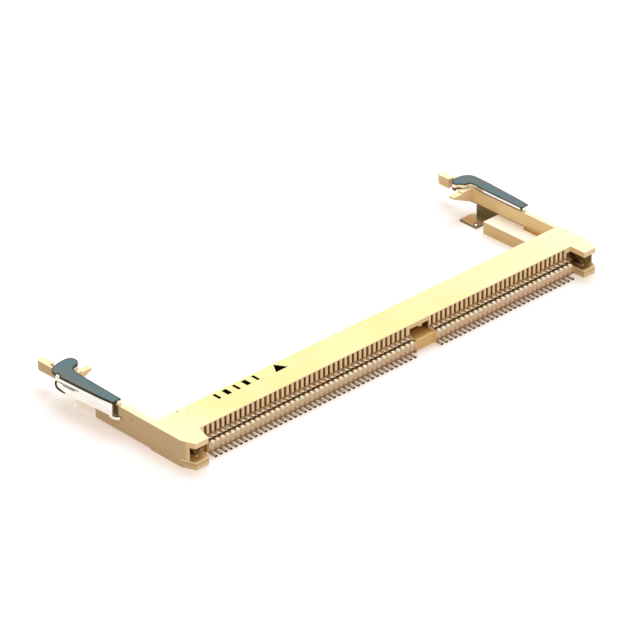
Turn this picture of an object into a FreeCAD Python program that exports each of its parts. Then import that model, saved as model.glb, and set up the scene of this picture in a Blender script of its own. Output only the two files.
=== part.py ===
import FreeCAD, Part
import os
import math
import Sketcher

# Socket for a small module card, lying flat on a circuit board.
# X runs along the contact rows, Y runs from the rear solder tails toward the
# arm tips, Z is up from the board, and the middle of the housing is at X 0.

os.makedirs("parts", exist_ok=True)
doc = FreeCAD.newDocument("module_socket")

sizes = doc.addObject("Spreadsheet::Sheet", "Sizes")

rows = [
    # contact layout
    ("pitch", 0.8, "spacing of neighbouring contacts"),
    ("pins_wide_bank", 42, "contacts in one row of the wide bank"),
    ("pins_narrow_bank", 30, "contacts in one row of the narrow bank"),
    ("key_gap", 4.6, "last wide bank contact to first narrow bank contact"),
    ("row_shift", 0.2, "middle of the contact rows from the middle of the housing"),
    ("group_pins", 6, "contacts kept together in one group"),
    ("contact_width", 0.36, "width of the contact strip"),
    ("contact_thick", 0.2, "thickness of the contact strip"),
    ("contact_play", 0.03, "air on each side of a contact in its slot"),
    # module card that the socket takes
    ("card_width", 67.6, "width of the module card"),
    ("card_thick", 1.0, "thickness of the module card"),
    ("tab_width", 63.6, "width of the contact tab of the card"),
    ("card_side_play", 0.1, "air between the card edge and an arm"),
    ("tab_side_play", 0.1, "air between the tab and the slot end"),
    ("card_play_below", 0.08, "air under the card in the slot"),
    ("card_play_above", 0.1, "air over the card in the slot"),
    # housing bar
    ("top_z", 3.62, "height of the flat top"),
    ("bar_front", 4.8, "front edge of the top from the rear face"),
    ("bar_lift", 0.2, "underside of the bar over the board"),
    ("shoulder_out", 0.55, "shoulder behind the rear face"),
    ("shoulder_top", 2.02, "top of the upright shoulder face"),
    ("rear_foot", 2.26, "height where the rear face meets the shoulder"),
    ("card_stop", 1.3, "rear wall of the card slot from the rear face"),
    ("mouth_depth", 0.4, "depth of the flared slot mouth"),
    ("mouth_flare_low", 0.22, "flare of the mouth below the slot"),
    ("mouth_flare_high", 0.2, "flare of the mouth above the slot"),
    ("key_rib", 1.3, "width of the key rib inside the card slot"),
    # comb behind the shoulder, which the rear legs run down in
    ("comb_out", 1.24, "rear face of the comb from the rear face of the top"),
    ("comb_wall", 0.38, "thickness of the rear wall of the comb"),
    ("comb_top", 1.92, "top of the comb"),
    ("comb_low", 0.5, "underside of the comb"),
    ("comb_groove", 1.3, "floor of the groove between comb and shoulder"),
    ("comb_side", 0.62, "end of the comb from the middle of its last contact"),
    # slots for the contacts
    ("slot_floor", 1.87, "floor of the rear slots"),
    ("slot_top", 3.5, "top of the rear slots"),
    ("slot_depth", 0.9, "depth of the rear slots"),
    ("slot_well", 0.8, "depth of the lower part of a rear slot"),
    ("groove_low", 2.7, "lower side of the upper beam groove"),
    ("groove_high", 3.3, "upper side of the upper beam groove"),
    ("groove_end", 4.35, "front end of the beam grooves"),
    ("well_floor", 0.55, "floor of the lower beam well"),
    ("well_door", 0.8, "top of the front door of the lower well"),
    ("well_rear", 1.4, "rear end of the lower beam well"),
    # recess between the banks
    ("key_recess_from", 3.42, "start of the rear recess between the banks"),
    ("key_recess_to", 6.75, "end of the rear recess between the banks"),
    ("key_recess_deep", 1.0, "depth of the rear recess"),
    ("key_floor", 1.75, "floor of the rear recess and top of its block"),
    ("key_lip_low", 3.0, "underside of the lip over the rear recess"),
    ("key_block_out", 1.0, "how far the block of the key stands out"),
    ("key_block_foot", 0.3, "underside of the key block"),
    ("key_rib_wide", 0.36, "width of the upright rib beside the key block"),
    ("key_rib_out", 1.3, "how far the upright ribs stand out"),
    ("key_rib_top", 1.95, "top of the upright ribs"),
    ("key_bump_wide", 0.55, "width of the bump under the lip"),
    ("key_bump_high", 0.28, "height of the bump under the lip"),
    ("key_bump_deep", 0.3, "depth of the bump under the lip"),
    # ears at the two ends
    ("wall_arm", 0.65, "thickness of an arm"),
    ("ear_back", 2.43, "rear edge of the ears"),
    ("ear_corner_in", 0.75, "chamfer of the ear corner, across"),
    ("ear_corner_start", 0.6, "chamfer of the ear corner, along"),
    ("ear_lean", 0.75, "slant of the inner edge of the marked ear"),
    ("ear_overlap", 0.3, "ear block running into the bar"),
    ("ear_low_top", 1.05, "top of the lower ear plate"),
    ("ear_high_low", 2.9, "underside of the upper ear plate"),
    ("ear_gap_step", 0.6, "depth of the gap beside the card slot"),
    ("ear_gap_deep", 2.3, "depth of the gap between the ear plates"),
    ("ear_strip_end", 1.5, "rear end of the corner strip of an ear"),
    ("ear_strip_wide", 0.6, "thickness of the corner strip of an ear"),
    ("ear_web", 0.6, "web left beside the contact rows"),
    ("ear_rib_from", 0.75, "small rib in the ear gap, from the step"),
    ("ear_rib_wide", 0.35, "width of the small rib"),
    ("ear_rib_out", 1.4, "rear end of the small rib"),
    ("ear_rib_high", 0.6, "height of the small rib"),
    # arms
    ("arm_lift", 0.22, "underside of an arm over the board"),
    ("arm_low_end", 14.75, "end of the full height part of an arm"),
    ("beam_low", 1.65, "underside of the springy arm beam"),
    ("beam_low_end", 21.0, "end of the deep part of the arm beam"),
    ("tip_low", 2.4, "underside of the arm tip at its start"),
    ("tip_low_start", 21.8, "start of the slim arm tip"),
    ("tip_low_far", 2.3, "underside of the arm tip near its end"),
    ("tip_end", 25.8, "end of the arm tip"),
    ("tip_round", 0.12, "cut corners of the arm tip"),
    ("tip_slant", 0.6, "slant of the arm tip in plan"),
    ("tip_pad", 0.38, "thickness of the pad inside the arm tip"),
    ("tip_pad_start", 23.5, "start of the pad inside the arm tip"),
    ("tip_thin", 0.3, "how much the arm is thinned between bracket and pad"),
    ("ledge_wide", 2.8, "width of the card ledge inside an arm"),
    ("ledge_top", 1.7, "top of the card ledge"),
    ("window_wide", 0.65, "width of the window in the ledge"),
    ("window_from", 6.6, "near end of the window"),
    ("window_to", 9.9, "far end of the window"),
    ("bracket_from", 19.75, "near face of the card bracket"),
    ("bracket_thick", 0.9, "thickness of the card bracket"),
    ("bracket_root", 1.6, "length of the raised root of the card bracket"),
    ("bracket_root_top", 3.55, "top of the raised root"),
    ("bracket_reach", 3.15, "reach of the card bracket from the arm"),
    ("bracket_top", 3.35, "top of the card bracket"),
    ("bracket_nose", 0.25, "height of the bracket nose"),
    ("anchor_from", 9.5, "near end of the latch anchor pocket"),
    ("anchor_to", 10.8, "far end of the latch anchor pocket"),
    ("anchor_deep", 0.25, "depth of the latch anchor pocket"),
    ("anchor_play", 0.1, "air around the latch foot in its pocket"),
    # latch
    ("sheet", 0.3, "thickness of the latch sheet"),
    ("latch_gap", 0.29, "air between the arm top and the latch"),
    ("latch_start", 10.7, "fixed end of the latch"),
    ("latch_in", 33.88, "inner edge of the latch at its fixed end"),
    ("latch_out", 35.15, "outer edge of the latch at its fixed end"),
    ("latch_out_far", 35.82, "outer edge of the latch at its head"),
    ("latch_in_far", 33.68, "inner edge of the latch before its head"),
    ("head_start", 19.8, "where the latch head starts"),
    ("head_end", 22.45, "end of the latch head"),
    ("hook_tip", 31.7, "tip of the latch hook"),
    ("hook_tip_y", 21.7, "place of the hook tip along the arm"),
    ("latch_wall_low", 2.15, "lower edge of the latch side wall"),
    ("latch_wall_end", 20.6, "front end of the latch side wall"),
    ("latch_wall_round", 0.5, "cut corner of the latch side wall"),
    ("foot_low", 1.95, "lower edge of the latch foot"),
    ("foot_tip", 34.42, "tip of the latch foot"),
    ("foot_end", 9.72, "rear end of the latch foot"),
    ("lip_low", 2.85, "lower edge of the press lip under the hook"),
    ("lip_from", 21.6, "near end of the press lip"),
    ("lip_to", 22.25, "far end of the press lip"),
    ("lip_in", 31.95, "inner side of the press lip"),
    ("tab_drop", 0.2, "drop of the folded end tab"),
    ("tab_wide", 0.55, "width of the folded end tab"),
    ("tab_inset", 0.12, "folded end tab from the latch edge"),
    # solder hold downs
    ("plate", 0.3, "thickness of the hold down sheet"),
    ("hold_wall_in", 33.75, "inner side of the hold down wall"),
    ("hold_wall_end", 18.6, "far end of the hold down wall"),
    ("hold_foot_from", 16.2, "near edge of the hold down foot"),
    ("hold_foot_to", 19.2, "far edge of the hold down foot"),
    ("hold_foot_in", 31.25, "inner edge of the hold down foot"),
    ("hold_hole_r", 0.32, "radius of the solder hole in the foot"),
    ("hold_hole_in", 0.58, "solder hole from both edges of its corner"),
    ("hold_blade_start", 12.8, "near end of the blade in the arm"),
    ("hold_blade_low", 0.6, "lower edge of the blade"),
    ("hold_blade_high", 1.3, "upper edge of the blade"),
    ("hold_blade_play", 0.05, "air over and under the blade"),
    # contacts
    ("tail_end", 1.85, "end of the rear solder tails"),
    ("leg_play", 0.05, "air between the rear legs and the shoulder"),
    ("riser_in", 0.35, "rear side of the upright inside a slot"),
    ("beam_top", 3.2, "top of the upper beams"),
    ("touch_up", 3.5, "touch point of the upper contacts"),
    ("touch_up_z", 2.64, "height of the upper touch point"),
    ("beam_tip_up", 4.1, "tip of the upper beams"),
    ("beam_tip_up_z", 2.95, "height of the upper beam tip"),
    ("front_tail", 6.3, "end of the front solder tails"),
    ("front_leg", 5.15, "inner side of the front legs"),
    ("low_turn", 1.55, "rear side of the lower turn"),
    ("low_turn_top", 1.3, "top of the lower turn"),
    ("touch_low", 3.3, "touch point of the lower contacts"),
    ("touch_low_z", 1.76, "height of the lower touch point"),
    ("beam_tip_low", 4.0, "tip of the lower beams"),
    ("beam_tip_low_z", 1.42, "height of the lower beam tip"),
]


class Size:
    """A length that knows its number and its sheet expression."""

    def __init__(self, value, text):
        self.value = value
        self.text = text

    def __add__(self, other):
        other = as_size(other)
        return Size(self.value + other.value, "(%s + %s)" % (self.text, other.text))

    def __sub__(self, other):
        other = as_size(other)
        return Size(self.value - other.value, "(%s - %s)" % (self.text, other.text))

    def __mul__(self, other):
        other = as_size(other)
        return Size(self.value * other.value, "(%s * %s)" % (self.text, other.text))

    def __neg__(self):
        return Size(-self.value, "(0 - %s)" % self.text)


def as_size(thing):
    if isinstance(thing, Size):
        return thing
    return Size(float(thing), repr(float(thing)))


S = {}
for number, (alias, value, note) in enumerate(rows, start=1):
    sizes.set("A%d" % number, alias)
    sizes.set("B%d" % number, repr(value))
    sizes.set("C%d" % number, note)
    sizes.setAlias("B%d" % number, alias)
    S[alias] = Size(float(value), "Sizes." + alias)
doc.recompute()

PLANES = {
    "XY": FreeCAD.Rotation(),
    "XZ": FreeCAD.Rotation(FreeCAD.Vector(1, 0, 0), 90),
    "YZ": FreeCAD.Rotation(FreeCAD.Vector(1, 1, 1), 120),
}
LIFT_AXIS = {"XY": "z", "XZ": "y", "YZ": "x"}


def new_body(label):
    body = doc.addObject("PartDesign::Body", label)
    body.Label = label
    return body


def outline(body, label, plane, points, at):
    """Closed sketch whose every corner is tied to the sheet."""
    sketch = body.newObject("Sketcher::SketchObject", label)
    sketch.Placement = FreeCAD.Placement(FreeCAD.Vector(), PLANES[plane])
    at = as_size(at)
    sketch.setExpression("Placement.Base." + LIFT_AXIS[plane], at.text)
    corners = [(as_size(a), as_size(b)) for a, b in points]
    spots = [FreeCAD.Vector(a.value, b.value, 0) for a, b in corners]
    count = len(spots)
    for i in range(count):
        sketch.addGeometry(Part.LineSegment(spots[i], spots[(i + 1) % count]), False)
    for i in range(count):
        follow = (i + 1) % count
        sketch.addConstraint(Sketcher.Constraint("Coincident", i, 2, follow, 1))
    for i, pair in enumerate(corners):
        for kind, size, axis in (("DistanceX", pair[0], -2), ("DistanceY", pair[1], -1)):
            if size.value == 0.0:
                sketch.addConstraint(Sketcher.Constraint("PointOnObject", i, 1, axis))
                continue
            tie = sketch.addConstraint(Sketcher.Constraint(kind, -1, 1, i, 1, size.value))
            sketch.setExpression("Constraints[%d]" % tie, size.text)
    return sketch


def grow(body, label, plane, points, at, length, cut=False):
    """Pad an outline, or cut it away, along plus X, Y or Z from the plane at."""
    sketch = outline(body, label + "_outline", plane, points, at)
    doc.recompute()
    kind = "PartDesign::Pocket" if cut else "PartDesign::Pad"
    before = body.Shape.Volume if not body.Shape.isNull() else 0.0
    feature = body.newObject(kind, label)
    feature.Profile = sketch
    feature.setExpression("Length", as_size(length).text)
    forward = plane != "XZ"
    feature.Reversed = (not forward) if not cut else forward
    body.Tip = feature
    doc.recompute()
    after = body.Shape.Volume
    changed = (before - after) if cut else (after - before)
    if changed <= 1e-6:
        raise RuntimeError("%s changes nothing" % label)
    return feature


def repeat(body, feature, count, spacing):
    """Repeat a feature along plus X."""
    pattern = body.newObject("PartDesign::LinearPattern", feature.Label + "_row")
    pattern.Originals = [feature]
    pattern.Direction = (feature.Profile[0], ["N_Axis"])
    pattern.setExpression("Length", (spacing * (count - 1)).text)
    pattern.setExpression("Occurrences", count.text)
    body.Tip = pattern
    doc.recompute()
    return pattern


def box(x0, y0, x1, y1):
    return [(x0, y0), (x1, y0), (x1, y1), (x0, y1)]


# places derived from the sheet
half = as_size(0.5)
zero = as_size(0)
row_span = S["pitch"] * (S["pins_wide_bank"] + S["pins_narrow_bank"] - 2) + S["key_gap"]
wide_first = S["row_shift"] - row_span * half
wide_last = wide_first + S["pitch"] * (S["pins_wide_bank"] - 1)
narrow_first = wide_last + S["key_gap"]
key_middle = wide_last + S["key_gap"] * half
arm_in = S["card_width"] * half + S["card_side_play"]
arm_out = arm_in + S["wall_arm"]
step = S["tab_width"] * half
card_low = S["ledge_top"]
card_high = S["ledge_top"] + S["card_thick"]
latch_low = S["top_z"] + S["latch_gap"]
latch_top = latch_low + S["sheet"]
SIDES = (("left", -1), ("right", 1))


def side(sign, size):
    size = as_size(size)
    return size if sign > 0 else -size


def across(body, label, points, near, far, sign, cut=False):
    """Outline in the YZ plane grown between two distances from the middle."""
    start = near if sign > 0 else -far
    return grow(body, label, "YZ", points, start, far - near, cut)


# HOUSING, one moulded piece
housing = new_body("housing")

grow(housing, "bar", "YZ", [
    (S["bar_front"], S["bar_lift"]), (S["bar_front"], S["top_z"]), (zero, S["top_z"]),
    (zero, S["rear_foot"]), (-S["shoulder_out"], S["shoulder_top"]),
    (-S["shoulder_out"], S["bar_lift"])],
    -step, step * 2)

for name, sign in SIDES:
    lean = S["ear_lean"] if sign < 0 else as_size(0)
    ear_step = step - lean
    grow(housing, "end_" + name, "XY", [
        (side(sign, step - S["ear_overlap"]), S["bar_front"]),
        (side(sign, arm_out), S["bar_front"]),
        (side(sign, arm_out), -S["ear_corner_start"]),
        (side(sign, arm_out - S["ear_corner_in"]), -S["ear_back"]),
        (side(sign, step), -S["ear_back"]),
        (side(sign, ear_step), zero),
        (side(sign, ear_step - 0.01), S["ear_overlap"])], 0, S["top_z"])
    across(housing, "arm_" + name, [
        (S["bar_front"] - 0.2, S["arm_lift"]), (S["arm_low_end"], S["arm_lift"]),
        (S["arm_low_end"], S["beam_low"]), (S["beam_low_end"], S["beam_low"]),
        (S["tip_low_start"], S["tip_low"]), (S["tip_end"] - S["tip_round"], S["tip_low_far"]),
        (S["tip_end"], S["tip_low_far"] + S["tip_round"]),
        (S["tip_end"], S["top_z"] - S["tip_round"]),
        (S["tip_end"] - S["tip_round"], S["top_z"]),
        (S["bar_front"] - 0.2, S["top_z"])], arm_in, arm_out, sign)
    across(housing, "ledge_" + name, [
        (S["bar_front"] - 0.2, zero), (S["arm_low_end"], zero),
        (S["arm_low_end"], S["ledge_top"]), (S["bar_front"] - 0.2, S["ledge_top"])],
        arm_in - S["ledge_wide"], arm_in + 0.05, sign)
    bracket_far = S["bracket_from"] + S["bracket_thick"]
    across(housing, "tip_thin_" + name, box(
        bracket_far, S["beam_low"] - 0.1, S["tip_pad_start"], S["top_z"] + 0.1),
        arm_in - 0.1, arm_in + S["tip_thin"], sign, cut=True)
    grow(housing, "bracket_" + name, "XZ", [
        (side(sign, arm_in + 0.05), S["bracket_root_top"]),
        (side(sign, arm_in - S["bracket_root"]), S["bracket_root_top"]),
        (side(sign, arm_in - S["bracket_root"]), S["bracket_top"]),
        (side(sign, arm_in - S["bracket_reach"]), S["bracket_top"]),
        (side(sign, arm_in - S["bracket_reach"]), S["bracket_top"] - S["bracket_nose"]),
        (side(sign, arm_in), S["beam_low"]),
        (side(sign, arm_in + 0.05), S["beam_low"])],
        S["bracket_from"], S["bracket_thick"])
    across(housing, "tip_pad_" + name, [
        (S["tip_pad_start"], S["tip_low_far"]), (S["tip_end"] - S["tip_round"], S["tip_low_far"]),
        (S["tip_end"], S["tip_low_far"] + S["tip_round"]),
        (S["tip_end"], S["top_z"] - S["tip_round"]),
        (S["tip_end"] - S["tip_round"], S["top_z"]), (S["tip_pad_start"], S["top_z"])],
        arm_in - S["tip_pad"], arm_in + 0.05, sign)
    slant_from = S["tip_end"] - S["tip_slant"]
    for face, flat, edge in (("inner", arm_in, arm_in - S["tip_pad"]),
                             ("outer", arm_out - S["tip_pad"], arm_out)):
        beyond = edge - 0.1 if face == "inner" else edge + 0.1
        grow(housing, "tip_slant_" + face + "_" + name, "XY", [
            (side(sign, flat), S["tip_end"]), (side(sign, edge), slant_from),
            (side(sign, beyond), slant_from), (side(sign, beyond), S["tip_end"] + 0.1),
            (side(sign, flat), S["tip_end"] + 0.1)],
            S["beam_low"], S["top_z"] - S["beam_low"] + 0.1, cut=True)

# comb that stands behind the shoulder of each bank
comb_in = S["comb_out"] - S["comb_wall"]
comb = [
    (-S["shoulder_out"] + 0.05, S["comb_low"]), (-S["comb_out"], S["comb_low"]),
    (-S["comb_out"], S["comb_top"]), (-comb_in, S["comb_top"]),
    (-comb_in, S["comb_groove"]), (-S["shoulder_out"] + 0.05, S["comb_groove"])]
wide_start = wide_first - S["comb_side"]
narrow_end = narrow_first + S["pitch"] * (S["pins_narrow_bank"] - 1) + S["comb_side"]
grow(housing, "comb_wide", "YZ", comb, wide_start, S["key_recess_from"] - wide_start)
grow(housing, "comb_narrow", "YZ", comb, S["key_recess_to"], narrow_end - S["key_recess_to"])

# block, ribs and bump of the key recess
grow(housing, "key_block", "YZ", [
    (-S["shoulder_out"] + 0.05, S["key_block_foot"]), (-S["key_block_out"], S["key_block_foot"]),
    (-S["key_block_out"], S["key_floor"]), (-S["shoulder_out"] + 0.05, S["key_floor"])],
    S["key_recess_from"], S["key_recess_to"] - S["key_recess_from"])
for name, start in (("near", S["key_recess_from"] - S["key_rib_wide"]),
                    ("far", S["key_recess_to"] - 0.05)):
    grow(housing, "key_upright_" + name, "YZ", [
        (-S["shoulder_out"] + 0.05, S["key_block_foot"]), (-S["key_rib_out"], S["key_block_foot"]),
        (-S["key_rib_out"], S["key_rib_top"]),
        (-S["shoulder_out"] + 0.05, S["key_rib_top"])], start, S["key_rib_wide"])
grow(housing, "key_recess", "YZ", [
    (-S["shoulder_out"] - 0.2, S["key_floor"]), (S["key_recess_deep"], S["key_floor"]),
    (S["key_recess_deep"], S["key_lip_low"]), (-S["shoulder_out"] - 0.2, S["key_lip_low"])],
    S["key_recess_from"], S["key_recess_to"] - S["key_recess_from"], cut=True)
grow(housing, "key_bump", "YZ", box(
    zero, S["key_lip_low"] - S["key_bump_high"], S["key_bump_deep"], S["key_lip_low"] + 0.05),
    key_middle, S["key_bump_wide"])

# card slot on both sides of the key rib
slot_low = card_low - S["card_play_below"]
slot_high = card_high + S["card_play_above"]
card_slot = [
    (S["card_stop"], slot_low), (S["bar_front"] - S["mouth_depth"], slot_low),
    (S["bar_front"], slot_low - S["mouth_flare_low"]),
    (S["bar_front"] + 0.1, slot_low - S["mouth_flare_low"]),
    (S["bar_front"] + 0.1, slot_high + S["mouth_flare_high"]),
    (S["bar_front"], slot_high + S["mouth_flare_high"]),
    (S["bar_front"] - S["mouth_depth"], slot_high), (S["card_stop"], slot_high)]
slot_end = step + S["tab_side_play"]
rib_half = S["key_rib"] * half
grow(housing, "card_slot_wide", "YZ", card_slot, -slot_end, key_middle - rib_half + slot_end, cut=True)
grow(housing, "card_slot_narrow", "YZ", card_slot, key_middle + rib_half,
     slot_end - key_middle - rib_half, cut=True)

# gap between the two plates of each ear, with its small rib
for name, sign in SIDES:
    web = arm_out - S["ear_strip_wide"]
    far = arm_out + 0.5
    back = -S["ear_back"] - 0.5
    near = step - S["ear_lean"] - 0.15
    grow(housing, "ear_gap_" + name, "XY", [
        (side(sign, near), back), (side(sign, near), -S["ear_web"]),
        (side(sign, step - 0.1), -S["ear_web"]), (side(sign, step - 0.1), S["ear_gap_step"]),
        (side(sign, step + 0.6), S["ear_gap_step"]), (side(sign, step + 0.6), S["ear_gap_deep"]),
        (side(sign, web), S["ear_gap_deep"]), (side(sign, web), -S["ear_strip_end"]),
        (side(sign, far), -S["ear_strip_end"]), (side(sign, far), back)],
        S["ear_low_top"], S["ear_high_low"] - S["ear_low_top"], cut=True)
    across(housing, "ear_rib_" + name, [
        (-S["ear_rib_out"], S["ear_low_top"] - 0.05), (S["ear_gap_deep"] + 0.05, S["ear_low_top"] - 0.05),
        (S["ear_gap_deep"] + 0.05, S["ear_low_top"] + S["ear_rib_high"]),
        (-S["ear_rib_out"] + 0.5, S["ear_low_top"] + S["ear_rib_high"])],
        step + S["ear_rib_from"], step + S["ear_rib_from"] + S["ear_rib_wide"], sign)
    # window in the ledge, pocket for the latch foot, slot for the hold down
    inner = arm_in - S["window_wide"]
    grow(housing, "window_" + name, "XY", [
        (side(sign, inner), S["window_from"]), (side(sign, arm_in), S["window_from"]),
        (side(sign, arm_in), S["window_to"]), (side(sign, inner), S["window_to"])],
        -0.1, S["ledge_top"] + 0.2, cut=True)
    across(housing, "anchor_" + name, box(
        S["anchor_from"], S["foot_low"] - S["anchor_play"],
        S["anchor_to"], S["latch_wall_low"] + S["anchor_play"] + 0.05),
        arm_out - S["anchor_deep"], arm_out + 0.2, sign, cut=True)
    across(housing, "blade_slot_" + name, box(
        S["hold_blade_start"] - S["hold_blade_play"], S["hold_blade_low"] - S["hold_blade_play"],
        S["arm_low_end"] + 0.1, S["hold_blade_high"] + S["hold_blade_play"]),
        S["hold_wall_in"], S["hold_wall_in"] + S["plate"], sign, cut=True)

# rows of contact slots: one from the rear and one from the front of each contact
slot_width = S["contact_width"] + S["contact_play"] * 2
rear_slot = [
    (-comb_in, S["comb_low"] - 0.2), (-S["shoulder_out"], S["comb_low"] - 0.2),
    (-S["shoulder_out"], S["slot_floor"]), (S["slot_well"], S["slot_floor"]),
    (S["slot_well"], S["groove_low"]), (S["groove_end"], S["groove_low"]),
    (S["groove_end"], S["groove_high"]), (S["slot_depth"], S["groove_high"]),
    (S["slot_depth"], S["slot_top"]), (-comb_in, S["slot_top"])]
front_well = [
    (S["bar_front"] + 0.1, S["well_floor"]), (S["well_rear"], S["well_floor"]),
    (S["well_rear"], slot_low + 0.1), (S["groove_end"], slot_low + 0.1),
    (S["groove_end"], S["well_door"]), (S["bar_front"] + 0.1, S["well_door"])]
BANKS = (("wide", wide_first, S["pins_wide_bank"], 7), ("narrow", narrow_first, S["pins_narrow_bank"], 5))
for name, first, pins, groups in BANKS:
    for kind, profile in (("rear_slots_", rear_slot), ("front_wells_", front_well)):
        cutter = grow(housing, kind + name, "YZ", profile, first - slot_width * half, slot_width, cut=True)
        repeat(housing, cutter, pins, S["pitch"])

# LATCHES, one folded sheet each
for name, sign in SIDES:
    latch = new_body("latch_" + name)
    tip_y = S["hook_tip_y"]
    plan = [
        (S["latch_in"], S["latch_start"]), (S["latch_out"], S["latch_start"]),
        (S["latch_out_far"], S["head_start"]), (S["latch_out_far"] - 0.12, S["head_start"] + 0.85),
        (S["latch_out_far"] - 0.6, S["head_end"] - 0.7), (S["latch_out_far"] - 1.35, S["head_end"] - 0.22),
        (S["latch_out_far"] - 2.3, S["head_end"]), (S["hook_tip"] + 0.85, S["head_end"]),
        (S["hook_tip"] + 0.25, tip_y + 0.6), (S["hook_tip"], tip_y),
        (S["hook_tip"] + 0.12, tip_y - 0.75), (S["hook_tip"] + 0.6, tip_y - 1.2),
        (S["hook_tip"] + 1.25, tip_y - 1.3), (S["hook_tip"] + 1.65, tip_y - 1.65),
        (S["latch_in_far"] - 0.08, tip_y - 2.3), (S["latch_in_far"], tip_y - 3.4)]
    grow(latch, "latch_plate_" + name, "XY", [(side(sign, a), b) for a, b in plan],
         latch_low, S["sheet"])
    lean = (S["latch_out_far"] - S["latch_out"]) * ((S["latch_wall_end"] - S["latch_start"]).value
                                                   / (S["head_start"] - S["latch_start"]).value)
    wall = [
        (S["latch_out"], S["latch_start"] + 0.25), (S["latch_out"] + lean, S["latch_wall_end"]),
        (S["latch_out"] + lean - S["sheet"], S["latch_wall_end"]),
        (S["latch_out"] - S["sheet"], S["latch_start"] + 0.25)]
    grow(latch, "latch_wall_" + name, "XY", [(side(sign, a), b) for a, b in wall],
         S["latch_wall_low"], latch_low + 0.05 - S["latch_wall_low"])
    across(latch, "latch_corner_" + name, [
        (S["latch_wall_end"] + 0.1, S["latch_wall_low"] - 0.1),
        (S["latch_wall_end"] + 0.1, S["latch_wall_low"] + S["latch_wall_round"]),
        (S["latch_wall_end"], S["latch_wall_low"] + S["latch_wall_round"]),
        (S["latch_wall_end"] - S["latch_wall_round"], S["latch_wall_low"]),
        (S["latch_wall_end"] - S["latch_wall_round"], S["latch_wall_low"] - 0.1)],
        S["latch_out"] - 1, S["latch_out"] + 2, sign, cut=True)
    foot = [
        (S["latch_out"] + 0.02, S["latch_start"] + 0.7), (S["latch_out"] - S["sheet"] + 0.02, S["latch_start"] + 0.7),
        (S["foot_tip"], S["foot_end"] + 0.35), (S["foot_tip"], S["foot_end"]),
        (S["foot_tip"] + 0.25, S["foot_end"]), (S["latch_out"], S["latch_start"] + 0.15)]
    grow(latch, "latch_foot_" + name, "XY", [(side(sign, a), b) for a, b in foot],
         S["foot_low"], S["latch_wall_low"] + 0.05 - S["foot_low"])
    grow(latch, "latch_lip_" + name, "XY", [(side(sign, a), b) for a, b in box(
        S["lip_in"], S["lip_from"], S["lip_in"] + S["sheet"], S["lip_to"])],
        S["lip_low"], latch_low + 0.05 - S["lip_low"])
    grow(latch, "latch_tab_" + name, "XY", [(side(sign, a), b) for a, b in box(
        S["latch_in"] + S["tab_inset"], S["latch_start"] - S["sheet"],
        S["latch_in"] + S["tab_inset"] + S["tab_wide"], S["latch_start"] + 0.05)],
        latch_low - S["tab_drop"], S["sheet"] + S["tab_drop"])

# HOLD DOWNS, one folded solder tab under each arm
for name, sign in SIDES:
    hold = new_body("hold_down_" + name)
    wall_in = S["hold_wall_in"]
    wall_out = wall_in + S["plate"]
    across(hold, "hold_wall_" + name, [
        (S["arm_low_end"], zero), (S["hold_wall_end"], zero), (S["hold_wall_end"], S["beam_low"]),
        (S["arm_low_end"], S["beam_low"]), (S["arm_low_end"], S["hold_blade_high"]),
        (S["hold_blade_start"], S["hold_blade_high"]), (S["hold_blade_start"], S["hold_blade_low"]),
        (S["arm_low_end"], S["hold_blade_low"])], wall_in, wall_out, sign)
    grow(hold, "hold_foot_" + name, "XY", [(side(sign, a), b) for a, b in box(
        S["hold_foot_in"], S["hold_foot_from"], wall_in + 0.05, S["hold_foot_to"])],
        0, S["plate"])
    ring = []
    mid_x = S["hold_foot_in"] + S["hold_hole_in"]
    mid_y = S["hold_foot_from"] + S["hold_hole_in"]
    for k in range(12):
        turn = math.radians(30 * k + 15)
        ring.append((side(sign, mid_x + S["hold_hole_r"] * math.cos(turn)),
                     mid_y + S["hold_hole_r"] * math.sin(turn)))
    grow(hold, "hold_hole_" + name, "XY", ring, -0.1, S["plate"] + 0.2, cut=True)

# CONTACTS, groups of six separate strips in two rows
t = S["contact_thick"]
floor = S["slot_floor"] + S["contact_play"]
leg_in = S["shoulder_out"] + S["leg_play"]
leg_out = leg_in + t
upper = [
    (-S["tail_end"], zero), (-leg_in, zero), (-leg_in, floor),
    (S["riser_in"] + t, floor), (S["riser_in"] + t, S["beam_top"] - t),
    (S["touch_up"], S["touch_up_z"]), (S["beam_tip_up"], S["beam_tip_up_z"]),
    (S["touch_up"], S["touch_up_z"] + t),
    (S["riser_in"], S["beam_top"]), (S["riser_in"], floor + t),
    (-leg_out, floor + t), (-leg_out, t), (-S["tail_end"], t)]
well = S["well_floor"]
lower = [
    (S["front_tail"], zero), (S["front_leg"], zero), (S["front_leg"], well),
    (S["low_turn"], well), (S["low_turn"], S["low_turn_top"] + t),
    (S["touch_low"], S["touch_low_z"]), (S["beam_tip_low"], S["beam_tip_low_z"] - t * half),
    (S["touch_low"], S["touch_low_z"] - t),
    (S["low_turn"] + t, S["low_turn_top"]), (S["low_turn"] + t, well + t),
    (S["front_leg"] + t, well + t),
    (S["front_leg"] + t, t), (S["front_tail"], t)]
for row, profile in (("upper", upper), ("lower", lower)):
    for bank, first, pins, groups in BANKS:
        for group in range(groups):
            strips = new_body("contacts_%s_%s_%d" % (row, bank, group + 1))
            strips.AllowCompound = True
            start = first + S["pitch"] * S["group_pins"] * group - S["contact_width"] * half
            strip = grow(strips, "strip_%s_%s_%d" % (row, bank, group + 1), "YZ", profile,
                         start, S["contact_width"])
            repeat(strips, strip, S["group_pins"], S["pitch"])

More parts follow.
